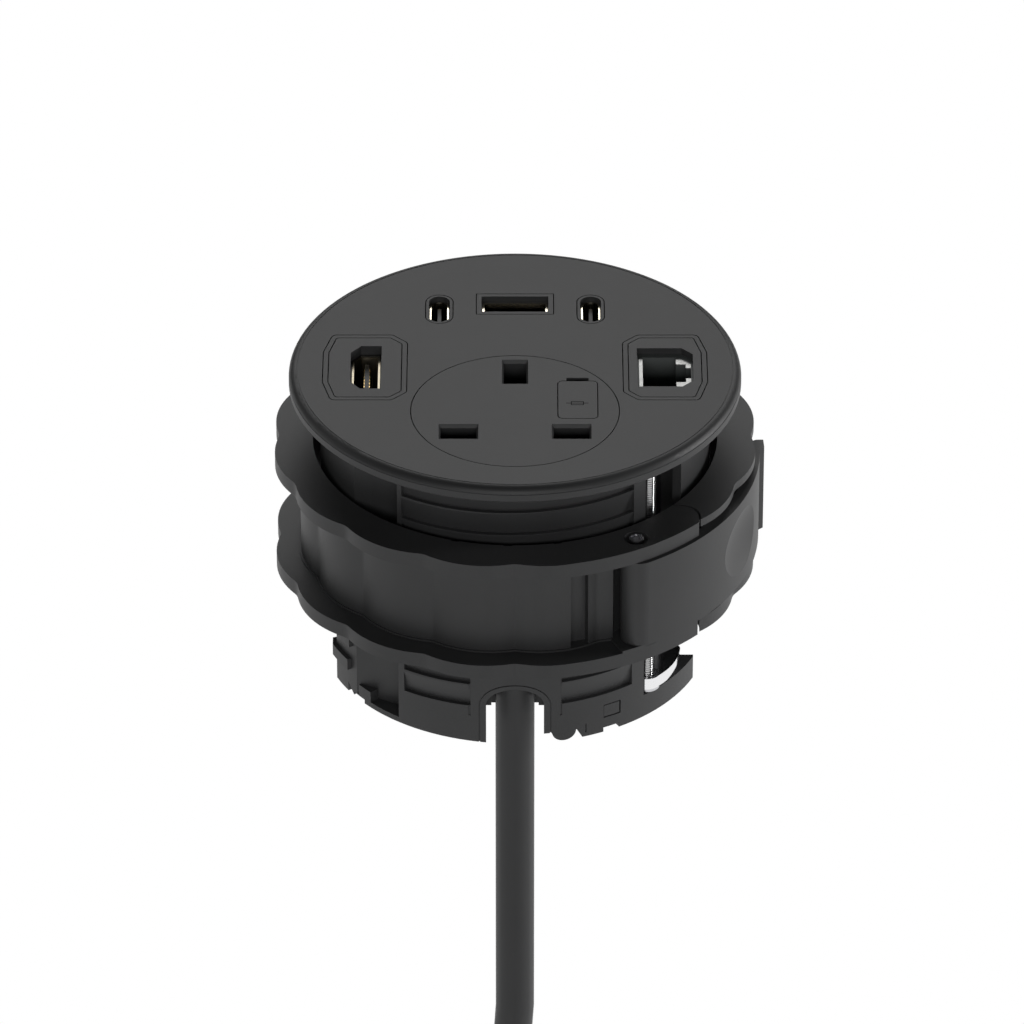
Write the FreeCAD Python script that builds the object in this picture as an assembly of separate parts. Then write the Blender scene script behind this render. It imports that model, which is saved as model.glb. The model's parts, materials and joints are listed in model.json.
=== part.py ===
import FreeCAD, Part
import math
import os
from FreeCAD import Matrix, Rotation, Vector

# In-desk power module for a round hole of 80 mm, in millimetres.
# Origin: centre of the hole at the desk's top face. +Z up, -Y towards the user, +X right.
# Azimuths are in degrees, 0 at the front (-Y) and positive towards +X.

# Bezel
bezel_thickness = 3.3
rim_height = 1.9
shoulder_width = 1.7
seam = 0.2
line_groove = 0.09

# Barrel, which goes through the desk
barrel_radius = 38.9
barrel_wall = 2.0
barrel_depth = 60.7
bezel_overhang = 6.1
bezel_radius = barrel_radius + bezel_overhang
pilot_step = 0.6
pilot_radius = barrel_radius + pilot_step
waist_top = -30.0
side_flat = 35.8
waist_half_width = 29.5
waist_half_length = 14.6
pilot_height = 1.9
bezel_seat = 0.5
thread_pitch = 5.1
thread_depth = 0.9
thread_slope_height = 4.9
thread_first_ledge = -6.2
thread_rise_angle = 1.2
front_panel_right = 41.3
liner = 1.5
recess_lip = 1.2

# Arch for the cord, in the barrel's front
arch_half_width = 5.75
arch_spring_line = 8.85 - barrel_depth
arch_rise = 4.0
arch_border = 1.2
border_rise = 0.9
border_groove = 0.25

# Claws on threaded rods, one at the right front and its twin opposite
claw_axis_x = 26.3
claw_axis_y = -25.8
rod_radius = 1.5
rod_top = -0.3
rod_end_radius = 1.2
running_fit = 0.04
claw_boss_radius = 2.7
claw_thickness = 2.5
claw_heading = 55.0
claw_length = 11.6
claw_tip_thickness = 0.6
nut_flange_height = 0.6
nut_sleeve_radius = 2.05
shelf_top = 5.1 - barrel_depth
shelf_thickness = 1.6
pocket_top = -2.0
upper_channel_right = 57.5

# Clamp collar
collar_top = -12.7
collar_height = 26.5
flange_thickness = 3.1
collar_clearance = 1.5
collar_bore = barrel_radius + collar_clearance
flange_lobe = collar_bore + 8.0
flange_valley = collar_bore + 6.75
flange_valley_round = 4.0
lobe_count = 16
plain_lip_start = 10.5
collar_wall_lobe = collar_bore + 3.0
collar_wall_valley = collar_bore + 2.0
collar_wall_round = 2.0
wall_foot = 0.35
split_x = collar_bore - 4.2
split_bend_y = 10.3 - collar_bore
split_round = 4.2
split_gap = 0.35
hinge_azimuth = -128.5
pin_circle = collar_bore + 4.2
knuckle_radius = 3.2
knuckle_gap = 0.35
pin_radius = 1.2
pin_head_radius = 1.45
pin_recess_radius = 2.4
pin_recess_depth = 0.8

# Lever on the collar
lever_pin_azimuth = 32.2
lever_outer = flange_lobe + 0.55
lever_thickness = 2.35
lever_inner = lever_outer - lever_thickness
lever_nose_round = 3.65
lever_nose_azimuth = 32.5
lever_end_azimuth = 91.2
lever_tab_azimuth = 95.6
lever_tab_flare = 0.95
lever_tab_thickness = 2.3
lever_tab_corner = 1.4
lever_tab_slant = 1.7
lever_rest_azimuth = 84.5
lever_rest_gap = 0.5
lever_clearance = 0.3
lever_swing = 95.0
lever_step = 0.5
lever_rebate = 1.4
dimple_azimuth = 67.5
dimple_depth = 1.2
dimple_plan_radius = 55.0
dimple_side_radius = 21.6
catch_azimuth = 59.4
catch_half_angle = 1.0
catch_half_height = 3.5
catch_bite = 1.3
hook_gap = 0.45
hook_angle = 2.4

# Socket insert
socket_disc_radius = 20.5
socket_disc_thickness = 3.0
socket_body_radius = 20.2
socket_wall_gap = 0.5
socket_y = socket_body_radius + socket_wall_gap - (barrel_radius - barrel_wall)
socket_body_bottom = -29.0
skirt_bottom = -5.0
pin_pitch = 22.23
earth_y = socket_y + 14.5
flat_slot = (7.1, 4.8)
earth_slot = (4.5, 8.4)
slot_lead_in = 0.35
slot_lead_depth = 0.75
shutter_top = -0.8
shutter_thickness = 1.6
shutter_inner = 8.8
shutter_outer = 18.2

# Fuse carrier
carrier_x = 12.4
carrier_y = socket_y + 4.05
carrier_face = (7.7, 13.8)
carrier_corner = 1.0
carrier_body = (6.9, 12.9)
carrier_bottom = -28.2
carrier_gap = 0.3
fuse_radius = 3.15
fuse_length = 25.4
fuse_top = -1.6
notch_size = (4.4, 1.25)

# HDMI and data inserts, mirror images of each other in outline
insert_outer_x = 38.1
insert_inner_x = 21.55
insert_half_height = 12.15
insert_chamfer = 2.9
insert_slant_y = 5.6
insert_slant_x = 36.4
insert_round = 1.2
frame_width = 0.9
frame_depth = bezel_thickness - bezel_seat
plate_thickness = 2.0
plate_gap = 0.2

# HDMI port
hdmi_x = -29.65
hdmi_opening = (6.15, 16.0)
hdmi_chamfer = (2.0, 2.6)
hdmi_shell = (5.6, 15.1)
hdmi_shell_chamfer = 1.7
hdmi_shell_depth = 11.0
shell_wall = 0.4

# Data port
data_left = 24.3
data_right = 35.4
data_half_width = 7.2
data_chamfer = 2.2
data_plate_thickness = 1.4
jack_left = 25.4
jack_right = 32.05
jack_half_width = 5.9
key_one = (34.0, 3.35)
key_two = (35.0, 1.95)
jack_depth = 13.0

# Charger ports
usb_a_y = 24.15
usb_a_surround = (15.35, 7.65)
usb_a_opening = (13.45, 5.85)
usb_a_shell = (13.1, 5.6)
usb_a_tongue = (11.1, 1.9)
usb_c_x = 15.2
usb_c_y = 22.15
usb_c_surround = (5.3, 10.75)
usb_c_opening = (4.2, 9.7)
usb_c_shell = (3.8, 9.3)
usb_c_tongue = (0.75, 6.7)
board_top = -12.0
board_thickness = 1.6

# Mains cord
cord_radius = 3.9
cord_y = 8.6 - barrel_radius
cord_top = 17.7 - barrel_depth
coil_radius = 45.0
coil_pitch = 8.8
coil_turns = 6
coil_points = 24
tail_length = 34.0


# Helpers

def cyl(radius, low, high, x=0.0, y=0.0):
    return Part.makeCylinder(radius, high - low, Vector(x, y, low))


def box(x0, x1, y0, y1, z0, z1):
    return Part.makeBox(x1 - x0, y1 - y0, z1 - z0, Vector(x0, y0, z0))


def centred_box(size, x, y, low, high):
    return box(x - size[0] / 2, x + size[0] / 2, y - size[1] / 2, y + size[1] / 2, low, high)


def polar(radius, azimuth):
    a = math.radians(azimuth)
    return (radius * math.sin(a), -radius * math.cos(a))


def sector(radius, start, end, low, high):
    wedge = Part.makeCylinder(radius, high - low, Vector(0, 0, low), Vector(0, 0, 1), end - start)
    wedge.rotate(Vector(0, 0, 0), Vector(0, 0, 1), start - 90.0)
    return wedge


def ring(inner, outer, low, high, x=0.0, y=0.0):
    return cyl(outer, low, high, x, y).cut(cyl(inner, low - 1, high + 1, x, y))


def extrude(wire, low, high):
    face = Part.Face(wire)
    solid = face.extrude(Vector(0, 0, high - low))
    solid.translate(Vector(0, 0, low))
    return solid


def rounded_wire(points, radius):
    """Closed wire through points in the XY plane, with each corner an arc."""
    count = len(points)
    corners = []
    for i in range(count):
        before = Vector(*points[i - 1], 0)
        here = Vector(*points[i], 0)
        after = Vector(*points[(i + 1) % count], 0)
        to_before = (before - here).normalize()
        to_after = (after - here).normalize()
        half = to_before.getAngle(to_after) / 2
        reach = radius / math.tan(half)
        middle = (to_before + to_after).normalize()
        centre = here + middle * (radius / math.sin(half))
        corners.append((here + to_before * reach, centre - middle * radius, here + to_after * reach))
    edges = []
    for i in range(count):
        start, mid, end = corners[i]
        following = corners[(i + 1) % count][0]
        edges.append(Part.Arc(start, mid, end).toShape())
        if end.distanceToPoint(following) > 1e-4:
            edges.append(Part.LineSegment(end, following).toShape())
    return Part.Wire(edges)


def prism(points, low, high, radius=0.0):
    if radius > 0:
        return extrude(rounded_wire(points, radius), low, high)
    corners = [Vector(x, y, 0) for x, y in points]
    return extrude(Part.makePolygon(corners + corners[:1]), low, high)


def rounded_box(size, x, y, low, high, radius):
    half_x = size[0] / 2
    half_y = size[1] / 2
    points = [(x - half_x, y - half_y), (x + half_x, y - half_y),
              (x + half_x, y + half_y), (x - half_x, y + half_y)]
    return prism(points, low, high, radius)


def stadium(size, x, y, low, high):
    return rounded_box(size, x, y, low, high, size[0] / 2 - 0.01)


def grown(points, distance):
    """Convex polygon in anticlockwise order, with each side moved outwards."""
    count = len(points)
    lines = []
    for i in range(count):
        x0, y0 = points[i]
        x1, y1 = points[(i + 1) % count]
        length = math.hypot(x1 - x0, y1 - y0)
        nx = (y1 - y0) / length
        ny = -(x1 - x0) / length
        lines.append((nx, ny, nx * x0 + ny * y0 + distance))
    result = []
    for i in range(count):
        a0, b0, c0 = lines[i - 1]
        a1, b1, c1 = lines[i]
        det = a0 * b1 - a1 * b0
        result.append(((c0 * b1 - c1 * b0) / det, (a0 * c1 - a1 * c0) / det))
    return result


def mirrored(points):
    return [(-x, y) for x, y in reversed(points)]


def turned(shape, angle=180.0):
    copy = shape.copy()
    copy.rotate(Vector(0, 0, 0), Vector(0, 0, 1), angle)
    return copy


def fuse(shapes):
    result = shapes[0]
    for shape in shapes[1:]:
        result = result.fuse(shape)
    return result.removeSplitter()


def scalloped(lobe, valley, fillet, low, high):
    """Round plate whose edge has equal lobes with rounded valleys between them."""
    half = math.pi / lobe_count
    reach = valley + fillet
    lobe_round = ((lobe ** 2 + reach ** 2 - fillet ** 2 - 2 * reach * lobe * math.cos(half))
                  / (2 * (lobe + fillet - reach * math.cos(half))))
    centre = lobe - lobe_round

    def at(radius, angle):
        return Vector(radius * math.sin(angle), -radius * math.cos(angle), 0)

    edges = []
    for i in range(lobe_count):
        middle = (2 * i + 1) * half
        lobe_centre = at(centre, middle)
        before = at(reach, middle - half)
        after = at(reach, middle + half)
        share = lobe_round / (lobe_round + fillet)
        start = lobe_centre + (before - lobe_centre) * share
        end = lobe_centre + (after - lobe_centre) * share
        edges.append(Part.Arc(start, at(lobe, middle), end).toShape())
        next_centre = at(centre, middle + 2 * half)
        next_start = next_centre + (after - next_centre) * share
        edges.append(Part.Arc(end, at(valley, middle + half), next_start).toShape())
    return extrude(Part.Wire(edges), low, high)


def tube(points, radius):
    """Round bar along straight runs joined by tangent arcs; prints its tightest arc."""
    spots = [Vector(*p) for p in points]
    edges = []
    start = spots[0]
    tightest = None
    for i in range(1, len(spots) - 1):
        back = spots[i - 1] - spots[i]
        ahead = spots[i + 1] - spots[i]
        shorter = min(back.Length, ahead.Length)
        back.normalize()
        ahead.normalize()
        turn = math.pi - back.getAngle(ahead)
        arc = 0.45 * shorter / math.tan(turn / 2)
        reach = 0.45 * shorter
        middle = (back + ahead).normalize()
        centre = spots[i] + middle * (arc / math.cos(turn / 2))
        first = spots[i] + back * reach
        last = spots[i] + ahead * reach
        edges.append(Part.LineSegment(start, first).toShape())
        edges.append(Part.Arc(first, centre - middle * arc, last).toShape())
        start = last
        tightest = arc if tightest is None else min(tightest, arc)
    edges.append(Part.LineSegment(start, spots[-1]).toShape())
    wire = Part.Wire(edges)
    circle = Part.Circle(spots[0], spots[1] - spots[0], radius)
    solid = wire.makePipeShell([Part.Wire([circle.toShape()])], True, False)
    expected = math.pi * radius ** 2 * wire.Length
    print("tube: length %.1f, tightest arc %.1f, volume %.4f of expected"
          % (wire.Length, tightest or 0, solid.Volume / expected))
    return solid


# Bezel

def bezel_blank():
    r = bezel_radius
    top = bezel_thickness
    edges = [
        Part.LineSegment(Vector(0, 0, 0), Vector(r - 0.4, 0, 0)).toShape(),
        Part.LineSegment(Vector(r - 0.4, 0, 0), Vector(r, 0, 0.4)).toShape(),
        Part.LineSegment(Vector(r, 0, 0.4), Vector(r, 0, rim_height)).toShape(),
        Part.Arc(Vector(r, 0, rim_height), Vector(r - shoulder_width * 0.3, 0, top - (top - rim_height) * 0.3),
                 Vector(r - shoulder_width, 0, top)).toShape(),
        Part.LineSegment(Vector(r - shoulder_width, 0, top), Vector(0, 0, top)).toShape(),
        Part.LineSegment(Vector(0, 0, top), Vector(0, 0, 0)).toShape(),
    ]
    blank = Part.Face(Part.Wire(edges)).revolve(Vector(0, 0, 0), Vector(0, 0, 1), 360)
    # Fine lines on both sides of the rounded shoulder.
    half = line_groove
    inner = r - shoulder_width
    blank = blank.cut(ring(inner - half, inner + half, top - half, top + 1))
    return blank.cut(ring(r - half, r + 1, rim_height - half, rim_height + half))


def insert_points():
    """Outline of the right-hand insert, anticlockwise."""
    x0 = insert_inner_x
    x1 = insert_outer_x
    h = insert_half_height
    c = insert_chamfer
    return [(x0, -h + c), (x0 + c, -h), (insert_slant_x, -h), (x1, -insert_slant_y),
            (x1, insert_slant_y), (insert_slant_x, h), (x0 + c, h), (x0, h - c)]


def insert_block(side, growth, low, high):
    points = grown(insert_points(), growth)
    if side < 0:
        points = mirrored(points)
    return prism(points, low, high, insert_round + growth * 0.5)


board_post_x = 7.5
board_post_y = 14.5
post_radius = 2.3
board_screw_radius = 1.1


def make_bezel():
    body = bezel_blank()
    low = -1.0
    high = bezel_thickness + 1.0
    cuts = [
        cyl(socket_disc_radius + seam, low, high, 0, socket_y),
        insert_block(1, seam, low, high),
        insert_block(-1, seam, low, high),
        centred_box([s + 2 * seam for s in usb_a_surround], 0, usb_a_y, low, high),
    ]
    for side in (-1, 1):
        cuts.append(stadium([s + 2 * seam for s in usb_c_surround], side * usb_c_x, usb_c_y, low, high))
    cuts.append(cyl(pilot_radius + 0.05, low, bezel_seat))
    for cut in cuts:
        body = body.cut(cut)
    posts = []
    for side in (-1, 1):
        post = cyl(post_radius, board_top, bezel_seat + 0.1, side * board_post_x, board_post_y)
        posts.append(post.cut(cyl(board_screw_radius, board_top - 1, -4.0, side * board_post_x, board_post_y)))
    return fuse([body] + posts)


# Barrel

def claw_pocket(growth, low, high):
    """Plan of the channel in which a claw lies folded, at the right front."""
    points = [(23.3, -34.0), (50.0, -34.0), (50.0, -10.5), (29.0, -10.5), (23.3, -22.5)]
    return prism(grown(points, growth), low, high)


def side_recess(growth, low, high):
    """Plan of the V-shaped recess at the left front."""
    floor_x = -23.2
    points = [(floor_x, -45.0), (floor_x, -26.7), (-28.0, -24.2), (-31.6, -22.6), (-45.0, -30.0)]
    return prism(grown(points, growth), low, high)


def both(shape):
    return [shape, turned(shape)]


def thread_groove(ledge, start, end):
    """Ratchet-shaped groove: a level ledge with a slope above it."""
    outside = barrel_radius + 0.3
    deep = barrel_radius - thread_depth
    slope_end = ledge + thread_slope_height * (outside - deep) / thread_depth
    profile = [Vector(outside, 0, ledge), Vector(deep, 0, ledge), Vector(outside, 0, slope_end)]
    face = Part.Face(Part.makePolygon(profile + profile[:1]))
    groove = face.revolve(Vector(0, 0, 0), Vector(0, 0, 1), end - start)
    groove.rotate(Vector(0, 0, 0), Vector(0, 0, 1), start - 90.0)
    groove.rotate(Vector(0, 0, ledge), Vector(0, 1, 0), -thread_rise_angle)
    return groove


def arch_solid(half_width, rise, near, far):
    """Block in the shape of the cord arch: straight sides and half an ellipse on top."""
    low = -barrel_depth - 5
    left = Vector(-half_width, 0, arch_spring_line)
    right = Vector(half_width, 0, arch_spring_line)
    middle = Vector(0, 0, arch_spring_line)
    ellipse = Part.Ellipse(right, Vector(0, 0, arch_spring_line + rise), middle)
    wire = Part.Wire([Part.ArcOfEllipse(ellipse, 0, math.pi).toShape(),
                      Part.LineSegment(left, Vector(-half_width, 0, low)).toShape(),
                      Part.LineSegment(Vector(-half_width, 0, low), Vector(half_width, 0, low)).toShape(),
                      Part.LineSegment(Vector(half_width, 0, low), right).toShape()])
    solid = Part.Face(wire).extrude(Vector(0, far - near, 0))
    solid.translate(Vector(0, near, 0))
    return solid


def edge_notch(azimuth, width, low, height):
    """Notch through the skirt's lower edge, as wide as given along the wall."""
    x, y = polar(barrel_radius, azimuth)
    notch = box(-width / 2, width / 2, -4.0, 4.0, low, low + height)
    notch.rotate(Vector(0, 0, 0), Vector(0, 0, 1), azimuth)
    notch.translate(Vector(x, y, 0))
    return notch


def round_tab(azimuth, half_width, level, drop):
    """Elliptical tongue that hangs from a level of the skirt."""
    x, y = polar(barrel_radius, azimuth)
    ellipse = Part.Ellipse(Vector(half_width, 0, level), Vector(0, 0, level + drop), Vector(0, 0, level))
    tab = Part.Face(Part.Wire([ellipse.toShape()])).extrude(Vector(0, 12, 0))
    tab.translate(Vector(0, -6, 0))
    tab.rotate(Vector(0, 0, 0), Vector(0, 0, 1), azimuth)
    tab.translate(Vector(x, y, 0))
    return tab


def vee_notch(azimuth, width, height):
    x, y = polar(barrel_radius, azimuth)
    bottom = -barrel_depth
    profile = [Vector(-width / 2, 0, bottom - 1), Vector(width / 2, 0, bottom - 1),
               Vector(width / 2, 0, bottom), Vector(-width / 2, 0, bottom + height)]
    solid = Part.Face(Part.makePolygon(profile + profile[:1])).extrude(Vector(0, 8, 0))
    solid.translate(Vector(0, -4, 0))
    solid.rotate(Vector(0, 0, 0), Vector(0, 0, 1), azimuth)
    solid.translate(Vector(x, y, 0))
    return solid


def side_clip():
    """Snap clip on the left of the skirt, with a stop above it."""
    bottom = -barrel_depth
    bar = sector(barrel_radius + 0.9, -70.0, -57.5, bottom + 5.9, bottom + 8.4)
    core = cyl(barrel_radius - 1.0, bottom, bottom + 20.0)
    clip = bar.cut(core).common(box(-side_flat - 0.8, 0, -60, 0, bottom, bottom + 20.0))
    stop = sector(barrel_radius + 0.9, -61.0, -56.5, bottom + 11.7, bottom + 13.8).cut(core)
    return clip, stop


def make_barrel():
    top = bezel_seat
    bottom = -barrel_depth
    outer = cyl(barrel_radius, bottom, top)
    inner_radius = barrel_radius - barrel_wall
    hollow = cyl(inner_radius, bottom - 1, top + 1)
    waist_x = waist_half_width
    for side in (-1, 1):
        outside = box(side_flat, 60, -60, 60, bottom - 1, waist_top)
        flat = box(side_flat - barrel_wall, 60, -60, 60, bottom - 2, waist_top - barrel_wall)
        notch = box(waist_x, 60, -waist_half_length, waist_half_length, bottom - 1, waist_top)
        wall = box(waist_x - barrel_wall, 60, -waist_half_length - barrel_wall,
                   waist_half_length + barrel_wall, bottom - 2, waist_top + barrel_wall)
        if side < 0:
            flat = turned(flat)
            outside = turned(outside)
            notch = turned(notch)
            wall = turned(wall)
        outer = outer.cut(outside).cut(notch)
        hollow = hollow.cut(wall).cut(flat)
    for block in both(claw_pocket(liner, bottom - 2, top + 2)) + both(side_recess(liner, bottom - 2, top + 2)):
        hollow = hollow.cut(block)
    body = outer.cut(hollow)

    # Channels: open between two azimuths above the waist, and right round below it.
    pocket = claw_pocket(0, shelf_top, pocket_top)
    behind_wall = pocket.common(cyl(inner_radius, bottom, top))
    window = sector(60, front_panel_right, upper_channel_right, shelf_top, pocket_top)
    lower_open = sector(60, front_panel_right, 75.0, shelf_top, waist_top)
    relief = cyl(claw_boss_radius + 0.3, shelf_top, pocket_top, claw_axis_x, claw_axis_y)
    for cut in (behind_wall, pocket.common(window), pocket.common(lower_open), relief):
        for copy in both(cut):
            body = body.cut(copy)
    under_shelf = claw_pocket(0, bottom - 1, shelf_top - shelf_thickness).common(cyl(inner_radius, bottom - 1, top))
    for copy in both(under_shelf):
        body = body.cut(copy)

    recess = side_recess(0, bottom + recess_lip, pocket_top)
    block = sector(barrel_radius, -53.5, -48.0, bottom + 0.4, bottom + 3.6).cut(cyl(inner_radius, bottom, top))
    for copy in both(recess):
        body = body.cut(copy)
    for copy in both(block):
        body = body.fuse(copy)

    # Interrupted thread on the front and back panels.
    ledges = int((barrel_depth - 7.0) / thread_pitch)
    for i in range(ledges):
        ledge = thread_first_ledge - i * thread_pitch
        if ledge > waist_top - 8:
            parts = [thread_groove(ledge, -35.0, 37.0)]
        elif ledge > -barrel_depth + 6:
            parts = [thread_groove(ledge, -34.5, -13.2), thread_groove(ledge, 13.8, 36.8)]
        else:
            parts = []
        for part in parts:
            for copy in both(part):
                body = body.cut(copy)

    # Cord arch with its sunk border line.
    line = arch_solid(arch_half_width + arch_border + border_groove, arch_rise + border_rise + border_groove,
                      -barrel_radius - 1, -barrel_radius + 4)
    line = line.cut(arch_solid(arch_half_width + arch_border, arch_rise + border_rise,
                               -barrel_radius - 2, -barrel_radius + 8))
    line = line.cut(cyl(barrel_radius - border_groove, bottom - 6, 0))
    body = body.cut(line)
    body = body.cut(arch_solid(arch_half_width, arch_rise, -barrel_radius - 2, -barrel_radius + 5.8))

    # Snap tabs, notches and clips along the skirt.
    gap_beside_tab = edge_notch(13.1, 7.4, bottom - 1, 3.1)
    body = body.cut(gap_beside_tab.cut(round_tab(14.6, 2.45, bottom + 2.1, 2.1)))
    body = body.cut(edge_notch(29.6, 3.6, bottom - 1, 2.0))
    body = body.cut(vee_notch(19.3, 1.2, 2.1))
    body = body.cut(edge_notch(21.3, 0.2, bottom + 0.9, 2.0).cut(cyl(barrel_radius - 0.3, bottom, top)))
    body = body.cut(vee_notch(-57.5, 2.4, 2.2))
    body = body.cut(edge_notch(-53.4, 3.6, bottom - 1, 1.9))
    window_groove = edge_notch(29.9, 3.9, bottom + 3.3, 3.1).cut(edge_notch(29.7, 3.5, bottom + 3.6, 2.6))
    window_groove = window_groove.cut(cyl(barrel_radius - 0.6, bottom, top))
    body = body.cut(window_groove)
    for spot in (-13.4, 13.6):
        body = body.cut(edge_notch(spot, 0.4, bottom + 6.1, 8.6).cut(cyl(barrel_radius - 0.2, bottom, top)))
    for piece in side_clip():
        for copy in both(piece):
            body = body.fuse(copy)

    # Plain ring that centres the module in the desk's hole.
    body = body.fuse(ring(inner_radius, pilot_radius, -pilot_height, 0))

    # Bearings for the two rods: a smaller hole in the shelf and one in the top ring, closed by the bezel.
    boss = cyl(claw_boss_radius + 0.8, pocket_top, top, claw_axis_x, claw_axis_y)
    bearing = cyl(rod_radius + running_fit, pocket_top - 1, 1, claw_axis_x, claw_axis_y)
    shelf_hole = cyl(rod_end_radius + running_fit, bottom - 1, shelf_top + 1, claw_axis_x, claw_axis_y)
    driver_hole = cyl(rod_radius + 0.1, bottom - 1, shelf_top - shelf_thickness, claw_axis_x, claw_axis_y)
    shelf_boss = cyl(claw_boss_radius + 0.8, shelf_top - shelf_thickness, shelf_top, claw_axis_x, claw_axis_y)
    shelf_boss = shelf_boss.common(cyl(barrel_radius, bottom, top))
    boss = boss.common(cyl(barrel_radius, bottom, top))
    for copy in both(boss) + both(shelf_boss):
        body = body.fuse(copy)
    for copy in both(bearing) + both(shelf_hole) + both(driver_hole):
        body = body.cut(copy)

    # Lugs inside for the base cover's screws.
    for x, y in cover_screw_spots():
        lug = cyl(cover_lug_radius, cover_top, cover_top + 8.0, x, y)
        grown_lug = lug.fuse(lug_web(x, y))
        body = body.fuse(grown_lug.common(cyl(inner_radius + 0.5, bottom, top)))
        body = body.cut(cyl(cover_screw_radius, cover_top - 1, cover_top + 6.0, x, y))
    return body.removeSplitter()


# Base cover, seated inside the skirt
cover_top = 3.1 - barrel_depth
cover_thickness = 1.8
cover_front = -26.2
cover_screw_radius = 1.25
cover_lug_radius = 2.8
cover_gap = 0.2


def cover_screw_spots():
    return [(-16.0, -22.5), (16.0, -22.5), (-12.0, 31.8), (12.0, 31.8)]


def lug_web(x, y):
    if y > 0:
        return box(x - 1.2, x + 1.2, y, barrel_radius, cover_top, cover_top + 8.0)
    return box(x - 1.2, x + 1.2, -barrel_radius, y, cover_top, cover_top + 8.0)


def make_base_cover():
    low = cover_top - cover_thickness
    plate = cyl(barrel_radius - barrel_wall - cover_gap, low, cover_top)
    inner_x = waist_half_width - barrel_wall - cover_gap
    inner_flat = side_flat - barrel_wall - cover_gap
    plate = plate.common(box(-inner_flat, inner_flat, cover_front, 60, low, cover_top))
    keep_out = waist_half_length + barrel_wall + cover_gap
    for side in (-1, 1):
        notch = box(inner_x, 60, -keep_out, keep_out, low - 1, cover_top + 1)
        plate = plate.cut(notch if side > 0 else turned(notch))
    for block in both(claw_pocket(liner + cover_gap, low - 1, 0)) + both(side_recess(liner + cover_gap, low - 1, 0)):
        plate = plate.cut(block)
    for x, y in cover_screw_spots():
        plate = plate.cut(cyl(cover_screw_radius + 0.25, low - 1, 0, x, y))
    for i in range(5):
        plate = plate.cut(stadium((1.6, 16.0), -6.0 + 3.0 * i, 8.0, low - 1, 0))
    return plate


def screw(x, y, head_bottom, head_radius, head_height, shank_radius, shank_length):
    """Cross-slotted screw driven upwards from below."""
    head = cyl(head_radius, head_bottom, head_bottom + head_height, x, y)
    shank = cyl(shank_radius, head_bottom + head_height - 0.1, head_bottom + head_height + shank_length, x, y)
    slot = box(x - head_radius * 0.7, x + head_radius * 0.7, y - 0.25, y + 0.25, head_bottom - 1, head_bottom + 0.6)
    cross = box(x - 0.25, x + 0.25, y - head_radius * 0.7, y + head_radius * 0.7, head_bottom - 1, head_bottom + 0.6)
    return head.fuse(shank).cut(slot).cut(cross)


def make_cover_screws():
    low = cover_top - cover_thickness
    return [screw(x, y, low - 1.3, 2.3, 1.3, cover_screw_radius, cover_thickness + 5.0)
            for x, y in cover_screw_spots()]


# Socket insert, body and contacts

def pin_spots():
    y = earth_y - pin_pitch
    return [(-pin_pitch / 2, y), (pin_pitch / 2, y)]


def tapered_slot(size, x, y):
    top = bezel_thickness
    mouth = [s + 2 * slot_lead_in for s in size]
    hole = centred_box(size, x, y, -1.0, top + 1)
    wires = []
    for z, dims in ((top - slot_lead_depth, size), (top, mouth)):
        hx = dims[0] / 2
        hy = dims[1] / 2
        corners = [Vector(x - hx, y - hy, z), Vector(x + hx, y - hy, z),
                   Vector(x + hx, y + hy, z), Vector(x - hx, y + hy, z)]
        wires.append(Part.makePolygon(corners + corners[:1]))
    return hole.fuse(Part.makeLoft(wires, True, True))


def carrier_notch(low, high):
    y = carrier_y + carrier_face[1] / 2 + notch_size[1] / 2
    return centred_box((notch_size[0], notch_size[1] + 0.4), carrier_x, y - 0.2, low, high)


def make_socket_insert():
    top = bezel_thickness
    low = top - socket_disc_thickness
    disc = cyl(socket_disc_radius, low, top, 0, socket_y)
    skirt = ring(socket_body_radius - 1.3, socket_body_radius, skirt_bottom, low + 0.1, 0, socket_y)
    body = disc.fuse(skirt)
    for x, y in pin_spots():
        body = body.cut(tapered_slot(flat_slot, x, y))
    body = body.cut(tapered_slot(earth_slot, 0, earth_y))
    hole = [s + 2 * seam for s in carrier_face]
    body = body.cut(rounded_box(hole, carrier_x, carrier_y, low - 8, top + 1, carrier_corner + seam))
    return body.cut(carrier_notch(top - 2.2, top + 1))


def make_socket_body():
    low = socket_body_bottom
    body = cyl(socket_body_radius, low, skirt_bottom, 0, socket_y)
    body = body.cut(ring(shutter_post_radius, spring_radius + spring_wire + 0.4, spring_bottom, 0, 0, socket_y))
    post = cyl(shutter_post_radius, spring_bottom, 0.25, 0, socket_y)
    body = body.fuse(post)
    well = [s + 2 * carrier_gap for s in carrier_body]
    body = body.cut(centred_box(well, carrier_x, carrier_y, carrier_bottom - carrier_gap, 5))
    for side_low, side_high in clip_levels():
        body = body.cut(clip_strip(side_low - 0.1, side_high + 0.1, 0.1))
    for (x, y), size in contact_spots():
        pocket = [s + 0.4 for s in size]
        body = body.cut(centred_box(pocket, x, y, contact_bottom - 0.2, skirt_bottom + 1))
        body = body.cut(centred_box((tail_width + 0.4, tail_thickness + 0.4), x, y, low - 1, contact_bottom))
    return body


shutter_post_radius = 1.6
contact_top = -6.5
contact_bottom = -20.0
tail_width = 3.0
tail_thickness = 1.0
tail_bottom = -35.0


def contact_spots():
    spots = [(spot, (7.6, 6.4)) for spot in pin_spots()]
    spots.append(((0.0, earth_y), (6.4, 10.0)))
    return spots


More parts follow.
